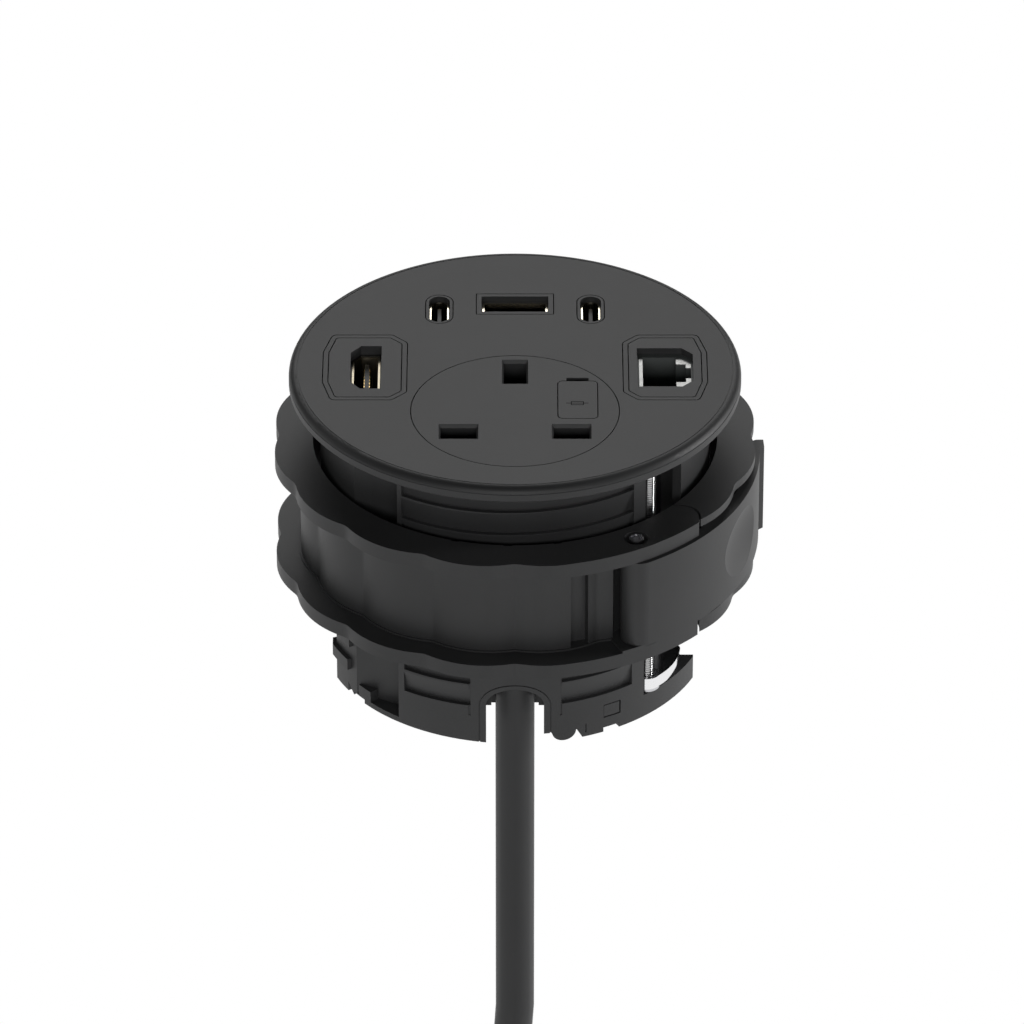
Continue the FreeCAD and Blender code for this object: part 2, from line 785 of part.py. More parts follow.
def make_contact(spot, size, pin):
    """Sprung brass cup that grips one pin, with a tail to the terminals."""
    x, y = spot
    cup = centred_box(size, x, y, contact_bottom, contact_top)
    cup = cup.cut(centred_box(pin, x, y, contact_bottom + 1.2, contact_top + 1))
    relief = (size[0] + 2, pin[1] * 0.35) if size[0] > size[1] else (pin[0] * 0.35, size[1] + 2)
    cup = cup.cut(centred_box(relief, x, y, contact_bottom + 3.0, contact_top + 1))
    tail = centred_box((tail_width, tail_thickness), x, y, tail_bottom, contact_bottom + 0.1)
    return cup.fuse(tail).removeSplitter()


def make_shutter():
    low = shutter_top - shutter_thickness
    hub = cyl(4.0, low, shutter_top)
    for start, end in ((35.0, 72.0), (-72.0, -35.0)):
        blade = sector(shutter_outer, start, end, low, shutter_top)
        hub = hub.fuse(blade.cut(cyl(shutter_inner, low - 1, 5)))
        middle = (start + end) / 2
        hub = hub.fuse(sector(shutter_inner + 0.5, middle - 9, middle + 9, low, shutter_top))
    arm = box(-1.9, 1.9, 0, 11.5, low, shutter_top)
    hub = hub.fuse(arm).cut(cyl(shutter_post_radius + running_fit, low - 1, 5))
    hub.translate(Vector(0, socket_y, 0))
    return hub.removeSplitter()


spring_wire = 0.3
spring_radius = 2.6
spring_turns = 3
spring_pitch = 1.05
spring_bottom = skirt_bottom - 3.8


def helix_tube(radius, pitch, turns, wire):
    """Unbroken helical tube about the Z axis from z = 0, made of quarter turns."""
    steps = 4 * turns
    edges = []

    def at(step):
        angle = step * math.pi / 2
        return Vector(radius * math.cos(angle), radius * math.sin(angle), pitch * step / 4)

    for i in range(steps):
        edges.append(Part.Arc(at(i), at(i + 0.5), at(i + 1)).toShape())
    path = Part.Wire(edges)
    profile = Part.Wire([Part.Circle(at(0), at(0.02) - at(0), wire).toShape()])
    return path.makePipeShell([profile], True, False)


def make_shutter_spring():
    spring = helix_tube(spring_radius, spring_pitch, spring_turns, spring_wire)
    spring.translate(Vector(0, socket_y, spring_bottom + spring_wire + 0.01))
    return spring


# Fuse carrier

def clip_levels():
    bottom = fuse_top - fuse_length
    return [(bottom + 1.0, bottom + 5.0), (fuse_top - 7.5, fuse_top - 4.5)]


def clip_strip(low, high, growth=0.0):
    x = carrier_x - carrier_body[0] / 2 - carrier_gap
    return box(x - 0.8 - growth, x + 0.01, carrier_y - 2.0 - growth, carrier_y + 2.0 + growth, low, high)


def make_fuse_carrier():
    top = bezel_thickness
    low = top - socket_disc_thickness
    face = rounded_box(carrier_face, carrier_x, carrier_y, low, top, carrier_corner)
    body = centred_box(carrier_body, carrier_x, carrier_y, carrier_bottom, low)
    body = body.cut(cyl(fuse_radius + 0.1, fuse_top - fuse_length - 0.1, fuse_top + 0.1, carrier_x, carrier_y))
    window = (carrier_body[0] + 2, 4.4)
    body = body.cut(centred_box(window, carrier_x, carrier_y, fuse_top - fuse_length - 0.1, fuse_top + 0.1))
    grip = box(carrier_x - notch_size[0] / 2, carrier_x + notch_size[0] / 2,
               carrier_y + carrier_face[1] / 2 - 0.8, carrier_y + carrier_face[1] / 2 + 1, low - 1, low + 1.2)
    return face.fuse(body).cut(grip).removeSplitter()


cap_length = 5.6


def make_fuse_body():
    return cyl(fuse_radius - 0.15, fuse_top - fuse_length + cap_length, fuse_top - cap_length, carrier_x, carrier_y)


def make_fuse_caps():
    bottom = fuse_top - fuse_length
    return [cyl(fuse_radius, bottom, bottom + cap_length, carrier_x, carrier_y),
            cyl(fuse_radius, fuse_top - cap_length, fuse_top, carrier_x, carrier_y)]


def make_fuse_clips():
    return [clip_strip(low, high).cut(box(0, 50, -50, 50, low + 1.2, low + 1.5)) for low, high in clip_levels()]


# HDMI and data inserts

def make_frame(side):
    top = bezel_thickness
    outer = insert_block(side, 0, top - frame_depth, top)
    inner = insert_block(side, -frame_width, top - frame_depth - 1, top + 1)
    frame = outer.cut(inner)
    below = cyl(barrel_radius - barrel_wall - 0.3, -20, bezel_seat)
    return frame.common(below.fuse(cyl(bezel_radius, bezel_seat, top)))


def make_plate(side, thickness):
    top = bezel_thickness
    return insert_block(side, -frame_width - plate_gap, top - thickness, top)


def hdmi_port_points(size, chamfer):
    """Port outline with its two chamfers on the left, anticlockwise."""
    cx, cy = chamfer
    x0 = hdmi_x - size[0] / 2
    x1 = hdmi_x + size[0] / 2
    h = size[1] / 2
    return [(x0, -h + cy), (x0 + cx, -h), (x1, -h), (x1, h), (x0 + cx, h), (x0, h - cy)]


def make_hdmi_plate():
    opening = prism(hdmi_port_points(hdmi_opening, hdmi_chamfer), -5, 10)
    return make_plate(-1, plate_thickness).cut(opening)


hdmi_shell_top = 1.1


def make_hdmi_shell():
    points = hdmi_port_points(hdmi_shell, (hdmi_shell_chamfer, hdmi_shell_chamfer))
    low = hdmi_shell_top - hdmi_shell_depth
    return prism(points, low, hdmi_shell_top).cut(prism(grown(points, -shell_wall), low - 1, 5))


def make_hdmi_tongue():
    low = hdmi_shell_top - hdmi_shell_depth
    points = hdmi_port_points(hdmi_shell, (hdmi_shell_chamfer, hdmi_shell_chamfer))
    base = prism(grown(points, -shell_wall - 0.05), low, low + 2.5)
    blade = box(hdmi_x - 0.3, hdmi_x + 0.6, -6.2, 6.2, low + 2.4, hdmi_shell_top - 1.0)
    return base.fuse(blade).removeSplitter()


contact_pitch = 1.2
contact_strip = (0.12, 0.6)


def make_hdmi_contacts():
    low = hdmi_shell_top - hdmi_shell_depth + 2.5
    high = hdmi_shell_top - 1.6
    pieces = []
    for i in range(9):
        y = (i - 4) * contact_pitch
        right = hdmi_x + 0.6
        left = hdmi_x - 0.3
        pieces.append(box(right, right + contact_strip[0], y - 0.3, y + 0.3, low, high))
        pieces.append(box(left - contact_strip[0], left, y - 0.3, y + 0.3, low, high))
    return pieces


coupler_bottom = -26.0


def make_hdmi_coupler():
    top = bezel_thickness - plate_thickness
    block = box(hdmi_x - 5.2, hdmi_x + 5.0, -8.6, 8.6, coupler_bottom, top)
    block = block.common(cyl(barrel_radius - barrel_wall - 0.3, coupler_bottom, top))
    points = hdmi_port_points(hdmi_shell, (hdmi_shell_chamfer, hdmi_shell_chamfer))
    return block.cut(prism(grown(points, 0.05), hdmi_shell_top - hdmi_shell_depth, 5))


def data_opening_points():
    x0 = data_left
    x1 = data_right
    h = data_half_width
    c = data_chamfer
    return [(x0, -h), (x1 - c, -h), (x1, -h + c), (x1, h - c), (x1 - c, h), (x0, h)]


def make_data_plate():
    return make_plate(1, data_plate_thickness).cut(prism(data_opening_points(), -5, 10))


def jack_hollow(low, high, growth=0.0):
    main = box(jack_left - growth, jack_right, -jack_half_width - growth, jack_half_width + growth, low, high)
    first = box(jack_right - 0.1, key_one[0], -key_one[1], key_one[1], low, high)
    second = box(key_one[0] - 0.1, key_two[0], -key_two[1], key_two[1], low, high)
    return fuse([main, first, second])


shield_thickness = 0.25


def make_data_shield():
    """Bright earthing tabs round the jack's mouth."""
    high = bezel_thickness - data_plate_thickness
    low = high - shield_thickness
    h = 5.15
    points = [(data_left + 0.4, -h), (data_right - 2.2, -h), (data_right - 0.4, -3.4),
              (data_right - 0.4, 3.4), (data_right - 2.2, h), (data_left + 0.4, h)]
    return prism(points, low, high).cut(jack_hollow(low - 1, high + 1))


def make_data_jack():
    top = bezel_thickness - data_plate_thickness
    block = box(23.4, 35.8, -8.4, 8.4, -24.0, top).common(cyl(barrel_radius - barrel_wall - 0.3, -24.0, top))
    block = block.cut(jack_hollow(top - jack_depth, top + 1))
    shelf = make_data_shield()
    pieces = shelf.Solids
    for piece in pieces:
        block = block.cut(piece)
    return block


def make_data_contacts():
    pieces = []
    for i in range(8):
        y = (i - 3.5) * 1.02
        wire = box(jack_left + 0.3, jack_left + 0.65, y - 0.2, y + 0.2, -11.0, -3.0)
        wire.rotate(Vector(jack_left + 0.3, y, -11.0), Vector(0, 1, 0), 16.0)
        pieces.append(wire)
    return pieces


# Charger

def make_usb_a_surround():
    top = bezel_thickness
    block = centred_box(usb_a_surround, 0, usb_a_y, top - 4.0, top)
    return block.cut(centred_box(usb_a_opening, 0, usb_a_y, top - 1.4, top + 1)).cut(
        centred_box([s + 0.06 for s in usb_a_shell], 0, usb_a_y, top - 5, top + 1))


def make_usb_a_shell():
    top = bezel_thickness - 1.5
    inner = [s - 2 * shell_wall for s in usb_a_shell]
    return centred_box(usb_a_shell, 0, usb_a_y, board_top, top).cut(
        centred_box(inner, 0, usb_a_y, board_top + 1.0, top + 1))


def make_usb_a_tongue():
    y = usb_a_y + usb_a_shell[1] / 2 - shell_wall - 0.7 - usb_a_tongue[1] / 2
    blade = centred_box(usb_a_tongue, 0, y, board_top + 1.0, 0.4)
    inner = [s - 2 * shell_wall - 0.06 for s in usb_a_shell]
    base = centred_box(inner, 0, usb_a_y, board_top + 1.0, board_top + 3.6)
    return blade.fuse(base).removeSplitter()


def make_usb_a_contacts():
    y = usb_a_y + usb_a_shell[1] / 2 - shell_wall - 0.7 - usb_a_tongue[1]
    return [box(x - 0.5, x + 0.5, y - 0.15, y, board_top + 3.7, 0.0) for x in (-3.5, -1.0, 1.0, 3.5)]


def make_usb_c_surrounds():
    top = bezel_thickness
    pieces = []
    for side in (-1, 1):
        block = stadium(usb_c_surround, side * usb_c_x, usb_c_y, top - 4.0, top)
        pieces.append(block.cut(stadium(usb_c_opening, side * usb_c_x, usb_c_y, top - 5, top + 1)))
    return pieces


def make_usb_c_shells():
    top = bezel_thickness - 1.1
    inner = [s - 2 * 0.3 for s in usb_c_shell]
    return [stadium(usb_c_shell, side * usb_c_x, usb_c_y, board_top, top).cut(
        stadium(inner, side * usb_c_x, usb_c_y, board_top + 1.0, top + 1)) for side in (-1, 1)]


def make_usb_c_tongues():
    inner = [s - 2 * 0.3 - 0.06 for s in usb_c_shell]
    pieces = []
    for side in (-1, 1):
        blade = centred_box(usb_c_tongue, side * usb_c_x, usb_c_y, board_top + 1.0, 1.3)
        base = stadium(inner, side * usb_c_x, usb_c_y, board_top + 1.0, board_top + 6.0)
        pieces.append(blade.fuse(base).removeSplitter())
    return pieces


def make_charger_board():
    low = board_top - board_thickness
    board = box(-19.5, 19.5, 11.0, 30.0, low, board_top)
    for side in (-1, 1):
        board = board.cut(cyl(board_screw_radius + 0.15, low - 1, 0, side * board_post_x, board_post_y))
    return board


def make_board_screws():
    low = board_top - board_thickness
    return [screw(side * board_post_x, board_post_y, low - 1.4, 2.0, 1.4, board_screw_radius, board_thickness + 5.0)
            for side in (-1, 1)]


def make_transformer():
    high = board_top - board_thickness
    core = box(-7.0, 7.0, 18.0, 28.0, high - 11.0, high)
    winding = box(-4.5, 4.5, 16.4, 29.6, high - 9.0, high - 2.0)
    return core.fuse(winding).removeSplitter()


def make_capacitors():
    high = board_top - board_thickness
    return [cyl(3.6, high - 11.0, high, x, 22.5) for x in (-14.0, 13.5)]


# Terminals and inner wires
terminal_top = socket_body_bottom
terminal_bottom = -41.0


def make_terminal_block():
    front = earth_y - 26.3
    block = box(-15.5, 15.5, front, earth_y + 6.2, terminal_bottom, terminal_top)
    block = block.cut(box(-9.0, 9.0, front - 1, front + 9, terminal_bottom - 1, terminal_top + 1))
    for (x, y), size in contact_spots():
        way = (tail_width + 0.4, tail_thickness + 0.4)
        block = block.cut(centred_box(way, x, y, tail_bottom - 0.2, terminal_top + 1))
        block = block.cut(cyl(terminal_screw_radius + 0.05, terminal_bottom - 1, tail_bottom, x, y))
    return block


terminal_screw_radius = 1.4


def make_terminal_screws():
    return [screw(x, y, terminal_bottom - 1.2, 2.2, 1.2, terminal_screw_radius, 4.6)
            for (x, y), size in contact_spots()]


wire_radius = 1.0


def make_wire(spot, start_x):
    """Insulated core from the cord's end to the side of its terminal."""
    x, y = spot
    end_y = -19.0 if abs(x) < 1 else y + 1.6
    side = 8.6 if x > 0 else -8.6
    if abs(x) < 1:
        points = [(start_x, cord_y + 1.6, cord_top), (start_x, cord_y + 1.6, -38.0),
                  (0, -24.5, -35.5), (0, end_y, -35.5)]
    else:
        points = [(start_x, cord_y - 0.8, cord_top), (start_x, cord_y - 0.8, -40.0),
                  (start_x * 1.6, -26.4, -37.0), (side, -24.6, -36.4)]
    return tube(points, wire_radius)


# Cord gland
gland_bottom = 6.2 - barrel_depth
gland_low = 13.3 - barrel_depth
gland_high = 17.3 - barrel_depth
gland_back = cord_y + 5.7
clamp_level = gland_high - 1.85
gland_half = 9.0
gland_recess = 4.7


def make_cord_gland():
    """Saddle behind the cord, with a recess open to the front below it."""
    block = box(-gland_half, gland_half, cord_y, gland_back, gland_bottom, gland_high)
    lower = box(-gland_half, gland_half, cord_y - 4.1, cord_y, gland_bottom, gland_low - 0.4)
    block = block.fuse(lower)
    below = gland_bottom - 5.5
    block = block.common(cyl(barrel_radius - barrel_wall - 0.2, below, 0))
    recess = cyl(gland_recess, below, gland_low, 0, cord_y).fuse(
        box(-gland_recess, gland_recess, cord_y - 10, cord_y, below, gland_low))
    block = block.cut(recess).cut(cyl(cord_radius, below, 0, 0, cord_y))
    for side in (-1, 1):
        block = block.cut(box(side * 6.6 - 1.05, side * 6.6 + 1.05, cord_y - 1, cord_y + 3.1,
                              clamp_level - 1.05, clamp_level + 1.05))
    return block.removeSplitter()


def make_clamp_bar():
    below = gland_bottom - 5.5
    bar = box(-gland_half, gland_half, cord_y - 4.3, cord_y - 0.2, gland_low, gland_high)
    bar = bar.common(cyl(barrel_radius - barrel_wall - 0.2, below, 0)).cut(cyl(cord_radius, below, 0, 0, cord_y))
    for side in (-1, 1):
        bar = bar.cut(Part.makeCylinder(1.05, 10, Vector(side * 6.6, cord_y - 7.7, clamp_level), Vector(0, 1, 0)))
    return bar


def make_clamp_screws():
    pieces = []
    for side in (-1, 1):
        x = side * 6.6
        shank = Part.makeCylinder(1.0, 6.6, Vector(x, cord_y - 3.9, clamp_level), Vector(0, 1, 0))
        head = Part.makeCylinder(1.6, 0.9, Vector(x, cord_y - 5.2, clamp_level), Vector(0, 1, 0))
        neck = Part.makeCylinder(1.0, 0.5, Vector(x, cord_y - 4.35, clamp_level), Vector(0, 1, 0))
        slot = box(x - 1.1, x + 1.1, cord_y - 5.7, cord_y - 4.8, clamp_level - 0.25, clamp_level + 0.25)
        pieces.append(fuse([shank, neck, head]).cut(slot))
    return pieces


# Claw mechanism, built at the right front; the twin is turned half a turn

def make_claw_screw():
    """Rod whose shoulder stands on the shelf, with a slotted end below."""
    rod = cyl(rod_radius, shelf_top + 0.05, rod_top, claw_axis_x, claw_axis_y)
    low = shelf_top - shelf_thickness - 0.2
    end = cyl(rod_end_radius, low, shelf_top + 0.1, claw_axis_x, claw_axis_y)
    slot = centred_box((3.0, 0.5), claw_axis_x, claw_axis_y, low - 1, low + 0.8)
    return rod.fuse(end).cut(slot).removeSplitter()


def make_claw_nut():
    low = shelf_top + 0.2
    flange = cyl(claw_boss_radius - 0.1, low, low + nut_flange_height, claw_axis_x, claw_axis_y)
    sleeve = cyl(nut_sleeve_radius, low, low + nut_flange_height + claw_thickness, claw_axis_x, claw_axis_y)
    thread = cyl(rod_radius + running_fit, low - 1, 0, claw_axis_x, claw_axis_y)
    return flange.fuse(sleeve).cut(thread).removeSplitter()


def claw_wire():
    """Leaf-shaped outline along +X from the pivot, outer side towards -Y."""
    r = claw_boss_radius
    tip = claw_length
    outer_start = Vector(0.3, -r, 0)
    outer_end = Vector(tip - 1.0, -0.9, 0)
    tip_end = Vector(tip - 0.4, 1.9, 0)
    inner_end = Vector(0.3, r, 0)
    return Part.Wire([
        Part.Arc(outer_start, Vector(tip * 0.5, -r + 0.05, 0), outer_end).toShape(),
        Part.Arc(outer_end, Vector(tip, 0.5, 0), tip_end).toShape(),
        Part.Arc(tip_end, Vector(tip * 0.55, 3.5, 0), inner_end).toShape(),
        Part.Arc(inner_end, Vector(-r, 0, 0), outer_start).toShape(),
    ])


def claw_underside(low):
    """Wedge cut from below, so that the claw thins towards its tip."""
    start = Vector(claw_boss_radius, -10, low - 0.01)
    end = Vector(claw_length + 1, -10, low - 0.01)
    tip = Vector(claw_length + 1, -10, low + claw_thickness - claw_tip_thickness)
    return Part.Face(Part.makePolygon([start, end, tip, start])).extrude(Vector(0, 20, 0))


def make_claw():
    low = shelf_top + 0.2 + nut_flange_height + 0.04
    claw = extrude(claw_wire(), low, low + claw_thickness)
    claw = claw.cut(cyl(nut_sleeve_radius + running_fit, low - 1, 0)).cut(claw_underside(low))
    claw.rotate(Vector(0, 0, 0), Vector(0, 0, 1), claw_heading)
    claw.translate(Vector(claw_axis_x, claw_axis_y, 0))
    return claw


# Clamp collar

def lower_flange_top():
    return collar_top - collar_height + flange_thickness


def collar_blank():
    bottom = collar_top - collar_height
    upper = scalloped(flange_lobe, flange_valley, flange_valley_round, collar_top - flange_thickness, collar_top)
    lower = scalloped(flange_lobe, flange_valley, flange_valley_round, bottom, lower_flange_top())
    wall = scalloped(collar_wall_lobe, collar_wall_valley, collar_wall_round,
                     lower_flange_top() - 0.1, collar_top - flange_thickness + 0.1)
    foot = scalloped(collar_wall_lobe + wall_foot, collar_wall_valley + wall_foot, collar_wall_round,
                     lower_flange_top() - 0.1, lower_flange_top() + wall_foot)
    plain_upper = sector(flange_lobe - 0.05, plain_lip_start, 70.0, collar_top - flange_thickness, collar_top)
    plain_lower = sector(flange_lobe - 0.05, plain_lip_start, 70.0, bottom, lower_flange_top())
    keep = front_region(0, bottom - 1, collar_top + 1)
    plain = plain_upper.fuse(plain_lower).common(keep)
    body = fuse([upper, wall, foot, lower, plain])
    return body.cut(cyl(collar_bore, bottom - 1, collar_top + 1))


def front_region(gap, low, high):
    """Plan of the front half: a rounded split under the lever, a straight one at the hinge."""
    far = 80.0
    slant = split_round * math.sqrt(0.5)
    outer = Vector(split_x, -math.sqrt(far ** 2 - split_x ** 2), 0)
    bend = Vector(split_x, split_bend_y, 0)
    middle = Vector(split_x - split_round + slant, split_bend_y + slant, 0)
    inner = Vector(split_x - split_round, split_bend_y + split_round, 0)
    step = Vector(inner.x - 12.0, inner.y, 0)
    centre = Vector(0, 0, 0)
    hinge = Vector(*polar(far, hinge_azimuth), 0)
    far_point = Vector(*polar(far, -50.0), 0)
    edges = [Part.LineSegment(outer, bend).toShape(), Part.Arc(bend, middle, inner).toShape(),
             Part.LineSegment(inner, step).toShape(), Part.LineSegment(step, centre).toShape(),
             Part.LineSegment(centre, hinge).toShape(), Part.Arc(hinge, far_point, outer).toShape()]
    region = extrude(Part.Wire(edges), low, high)
    if gap > 0:
        moved = region.copy()
        moved.translate(Vector(gap, gap, 0))
        region = region.fuse(moved)
    return region


def knuckle_levels():
    """Heights of the lower, middle and upper knuckles of the collar's hinge."""
    low = lower_flange_top()
    high = collar_top - flange_thickness
    step = (high - low) / 3
    return (low, low + step), (low + step, low + 2 * step), (low + 2 * step, high)


def hinge_spot():
    return polar(pin_circle, hinge_azimuth)


def pin_hole(spot, fit):
    bottom = collar_top - collar_height
    return cyl(pin_radius + fit, bottom - 1, collar_top + 1, spot[0], spot[1])


def make_collar_front():
    bottom = collar_top - collar_height
    top = collar_top
    body = collar_blank().common(front_region(0, bottom - 1, top + 1))
    hx, hy = hinge_spot()
    lower, middle, upper = knuckle_levels()
    ear = cyl(knuckle_radius, bottom, lower[1], hx, hy).fuse(cyl(knuckle_radius, upper[0], top, hx, hy))
    body = body.fuse(ear)
    body = body.cut(cyl(knuckle_radius + knuckle_gap, middle[0] - 0.01, middle[1] + 0.01, hx, hy))
    body = body.cut(cyl(collar_bore, bottom - 1, top + 1))
    body = body.cut(pin_hole((hx, hy), 0))
    # Seat for the lever's knuckle, between the flanges.
    px, py = polar(pin_circle, lever_pin_azimuth)
    lip = sector(flange_lobe - 0.05, 26.0, 70.0, lower_flange_top() - 0.1, lower_flange_top() + lever_step)
    lip = lip.cut(cyl(collar_wall_valley, bottom, 0)).common(front_region(0, bottom, top))
    body = body.fuse(lip)
    seat = lever_sweep(lower_flange_top() + lever_step, top - flange_thickness)
    channel = sector(60, 14.7, 19.6, lower_flange_top() + wall_foot, top - flange_thickness)
    channel = channel.cut(cyl(collar_wall_valley - 1.2, bottom, top))
    body = body.cut(seat).cut(channel)
    body = body.cut(pin_hole((px, py), 0))
    for x, y in ((px, py), (hx, hy)):
        body = body.cut(cyl(pin_recess_radius, top - pin_recess_depth, top + 1, x, y))
    ribs = collar_ribs(-33.0, 30.0)
    return fuse([body] + ribs).cut(rib_slots((-17.0, -2.0, 12.0)))


def make_collar_rear():
    bottom = collar_top - collar_height
    top = collar_top
    body = collar_blank().cut(front_region(split_gap, bottom - 1, top + 1))
    hx, hy = hinge_spot()
    lower, middle, upper = knuckle_levels()
    gap = knuckle_gap
    body = body.cut(cyl(knuckle_radius + gap, bottom - 1, middle[0] + gap, hx, hy))
    body = body.cut(cyl(knuckle_radius + gap, middle[1] - gap, top + 1, hx, hy))
    ear = cyl(knuckle_radius, middle[0] + gap, middle[1] - gap, hx, hy)
    body = body.fuse(ear).cut(cyl(collar_bore, bottom - 1, top + 1))
    body = body.cut(pin_hole((hx, hy), running_fit))
    # Room above the lever, and the catch that its hook grips.
    under = top - flange_thickness
    rebate = sector(60, 40.0, lever_tab_azimuth + 2, under - 1, under + lever_rebate)
    body = body.cut(rebate.cut(cyl(lever_inner - 1.0, under - 2, top)))
    body = body.fuse(catch()).fuse(lever_rest())
    ribs = collar_ribs(147.0, 210.0)
    return fuse([body] + ribs).cut(rib_slots((163.0, 178.0, 194.0)))


rib_height = 1.0
rib_slot_depth = 0.25
rib_slot_half_angle = 1.2


def collar_ribs(start, end):
    """Inner thread ribs, one turn of the pitch apart, standing clear of the barrel's crests."""
    ribs = []
    inner = barrel_radius + 0.3
    low = collar_top - collar_height + 2.0
    for i in range(5):
        z = low + i * thread_pitch
        rib = sector(collar_bore + 0.4, start, end, z, z + rib_height)
        ribs.append(rib.cut(cyl(inner, z - 1, z + rib_height + 1)))
    return ribs


def rib_slots(azimuths):
    """Upright slots that interrupt the ribs and reach a little into the bore."""
    low = collar_top - collar_height - 1
    return fuse([sector(collar_bore + rib_slot_depth, a - rib_slot_half_angle, a + rib_slot_half_angle,
                        low, collar_top + 1) for a in azimuths])


def lever_levels():
    return (lower_flange_top() + lever_step + lever_clearance, collar_top - flange_thickness - lever_clearance)


def catch():
    """Rib on the rear half's wall, behind which the lever's hook closes."""
    low, high = lever_levels()
    middle = (low + high) / 2
    rib = sector(hook_tip() + catch_bite, catch_azimuth - catch_half_angle, catch_azimuth + catch_half_angle,
                 middle - catch_half_height, middle + catch_half_height)
    return rib.cut(cyl(collar_wall_valley - 0.2, low - 1, high + 1))


def lever_rest():
    """Full-height rib on the rear half, a little inside the lever's end."""
    rib = sector(lever_inner - lever_rest_gap, lever_rest_azimuth - 1.0, lever_rest_azimuth + 1.0,
                 lower_flange_top() - 0.1, collar_top - flange_thickness + 0.1)
    return rib.cut(cyl(collar_wall_valley - 0.2, collar_top - collar_height, collar_top))


def hook_tip():
    return collar_wall_lobe + 0.6


def tab_panel(low, high):
    """Block with rounded corners that trims the tab's free end, laid out at the plate's end."""
    reach = lever_outer * math.sin(math.radians(lever_tab_azimuth - lever_end_azimuth))
    wire = rounded_wire([(-20.0, low), (reach, low), (reach, high), (-20.0, high)], lever_tab_corner)
    wire.rotate(Vector(0, 0, 0), Vector(1, 0, 0), 90)
    panel = Part.Face(wire).extrude(Vector(0, -20, 0))
    panel.translate(Vector(0, 10 - lever_outer, 0))
    panel.rotate(Vector(0, 0, 0), Vector(0, 0, 1), lever_end_azimuth)
    return panel


def nose_spot():
    return polar(lever_outer - lever_nose_round, lever_nose_azimuth)


def lever_sweep(low, high):
    """Room in which the lever's rounded end turns about its pin, from closed to open."""
    pin = Vector(*polar(pin_circle, lever_pin_azimuth), 0)
    places = []
    for angle in range(0, int(lever_swing) + 1, 19):
        place = cyl(lever_nose_round + lever_clearance, low, high, *nose_spot())
        place.rotate(pin, Vector(0, 0, 1), -angle)
        places.append(place)
    return fuse(places)


def make_lever():
    low, high = lever_levels()
    middle = (low + high) / 2
    nose = cyl(lever_nose_round, low, high, *nose_spot())
    plate = sector(lever_outer, lever_nose_azimuth, lever_end_azimuth - 0.6, low, high)
    plate = plate.cut(cyl(lever_inner, low - 1, high + 1))
    tab_radius = lever_outer + lever_tab_flare
    tab = prism([polar(lever_inner + 0.1, lever_end_azimuth - 2), polar(lever_outer - 0.05, lever_end_azimuth - 1),
                 polar(tab_radius, lever_end_azimuth), polar(tab_radius, lever_tab_azimuth - 0.8),
                 polar(tab_radius - 0.3, lever_tab_azimuth),
                 polar(tab_radius - lever_tab_thickness, lever_tab_azimuth - lever_tab_slant)], low, high)
    tab = tab.common(tab_panel(low, high))
    hook_start = catch_azimuth + catch_half_angle + math.degrees(hook_gap / lever_inner)
    hook = sector(lever_inner + 0.2, hook_start, hook_start + hook_angle,
                  middle - catch_half_height, middle + catch_half_height)
    hook = hook.cut(cyl(hook_tip(), low - 1, high + 1))
    body = fuse([nose, plate, tab, hook])
    dimple_x, dimple_y = polar(lever_outer + dimple_plan_radius - dimple_depth, dimple_azimuth)
    spool = Part.makeTorus(dimple_plan_radius - dimple_side_radius, dimple_side_radius,
                           Vector(dimple_x, dimple_y, middle), Vector(0, 0, 1))
    body = body.cut(spool)
    px, py = polar(pin_circle, lever_pin_azimuth)
    return body.cut(cyl(pin_radius + running_fit, low - 1, high + 1, px, py))


def hinge_pin(spot):
    x, y = spot
    bottom = collar_top - collar_height
    seat = collar_top - pin_recess_depth
    pin = cyl(pin_radius, bottom, seat + 0.1, x, y)
    head = cyl(pin_head_radius, seat, collar_top + 0.1, x, y)
    cup = cyl(pin_head_radius - 0.35, collar_top - 0.4, collar_top + 1, x, y)
    bar = box(x - 0.2, x + 0.2, y - 2, y + 2, seat, collar_top)
    return pin.fuse(head).cut(cup.cut(bar)).removeSplitter()


# Mains cord below the module
cord_route = [(0.0, cord_y, cord_top), (0.0, cord_y, -160.0), (-coil_radius, cord_y, -196.0),
              (-coil_radius, cord_y, -241.0)]
coil_start_z = cord_route[-1][2]


def make_cord():
    """Free stretch: straight down, then a gentle shift to the coil's left side."""
    return tube(cord_route, cord_radius)


def coil_point(turn):
    """Point on the coil after a number of turns, counted from its left side and downwards."""
    angle = 2 * math.pi * turn
    rise = coil_pitch * turn
    return Vector(-coil_radius * math.cos(angle), cord_y + rise, coil_start_z - coil_radius * math.sin(angle))


def make_cord_coil():
    steps = coil_turns * 4
    edges = [Part.Arc(coil_point(i / 4), coil_point((i + 0.5) / 4), coil_point((i + 1) / 4)).toShape()
             for i in range(steps)]
    path = Part.Wire(edges)
    profile = Part.Wire([Part.Circle(coil_point(0), Vector(0, 0, -1), cord_radius).toShape()])
    solid = path.makePipeShell([profile], True, False)
    gap = min((coil_point(t / coil_points) - coil_point(t / coil_points + 1 + s / coil_points)).Length
              for t in range(coil_points) for s in range(-3, 4)) - 2 * cord_radius
    print("coil: length %.1f, least gap between turns %.2f, volume %.4f of expected"
          % (path.Length, gap, solid.Volume / (math.pi * cord_radius ** 2 * path.Length)))
    return solid


def tail_start():
    return coil_point(coil_turns)


def make_cord_tail():
    start = tail_start()
    return cyl(cord_radius, start.z - tail_length, start.z - coil_end_lean, start.x, start.y)


coil_end_lean = 0.13
tie_half_width = 6.0
tie_wall = 1.2


